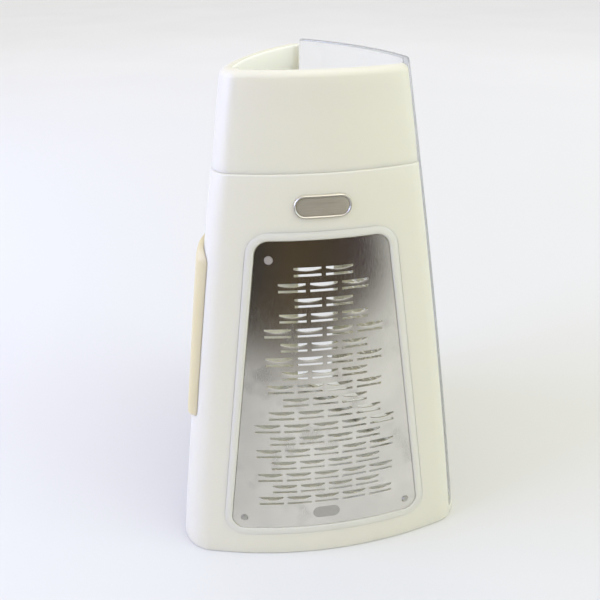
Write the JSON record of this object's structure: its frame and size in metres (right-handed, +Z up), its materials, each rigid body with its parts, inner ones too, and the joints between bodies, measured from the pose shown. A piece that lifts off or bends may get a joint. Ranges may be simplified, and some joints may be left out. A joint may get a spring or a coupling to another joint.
{
  "type": "tower cheese grater",
  "caption": "Free-standing three-sided tower grater: ribbon-tooth steel plate in front, clear side with a fine plate that tilts out, raised slicer table behind.",
  "frame": {"origin": "on the floor, at the middle of the base's bounding box", "axes": "+Z up the tower, -Y out of the front (coarse plate) side, clear side facing 30 degrees from +X in plan, slicer side facing 150 degrees"},
  "size_m": [0.159, 0.1516, 0.252],
  "materials": {
    "white_plastic": "satin moulded",
    "cream_plastic": "fine matt",
    "steel": "bright rolled",
    "badge_metal": "satin",
    "badge_face": "matt",
    "clear_plastic": "clear",
    "grey_rubber": "matt"
  },
  "bodies": {
    "tower": {"body_shell": "white_plastic", "top_collar": "white_plastic", "front_blade_frame": "white_plastic", "coarse_plate": "steel", "coarse_stud_1": "steel", "coarse_stud_2": "steel", "coarse_stud_3": "steel", "badge_bezel": "badge_metal", "badge_insert": "badge_face", "slicer_table": "cream_plastic", "slicer_blade": "steel", "slicer_rivet_1": "steel", "slicer_rivet_2": "steel", "base_ring": "grey_rubber"},
    "clear_side": {"clear_panel": "clear_plastic", "fine_plate": "steel", "fine_stud_1": "steel", "fine_stud_2": "steel", "fine_stud_3": "steel", "fine_stud_4": "steel"}
  },
  "joints": [
    {"name": "clear_side_tilt", "type": "hinge", "parent": "tower", "child": "clear_side", "pos_m": [0.05299, 0.01707, 0.0053], "axis": [-0.5, 0.866, 0], "range_deg": [0, 35]}
  ]
}
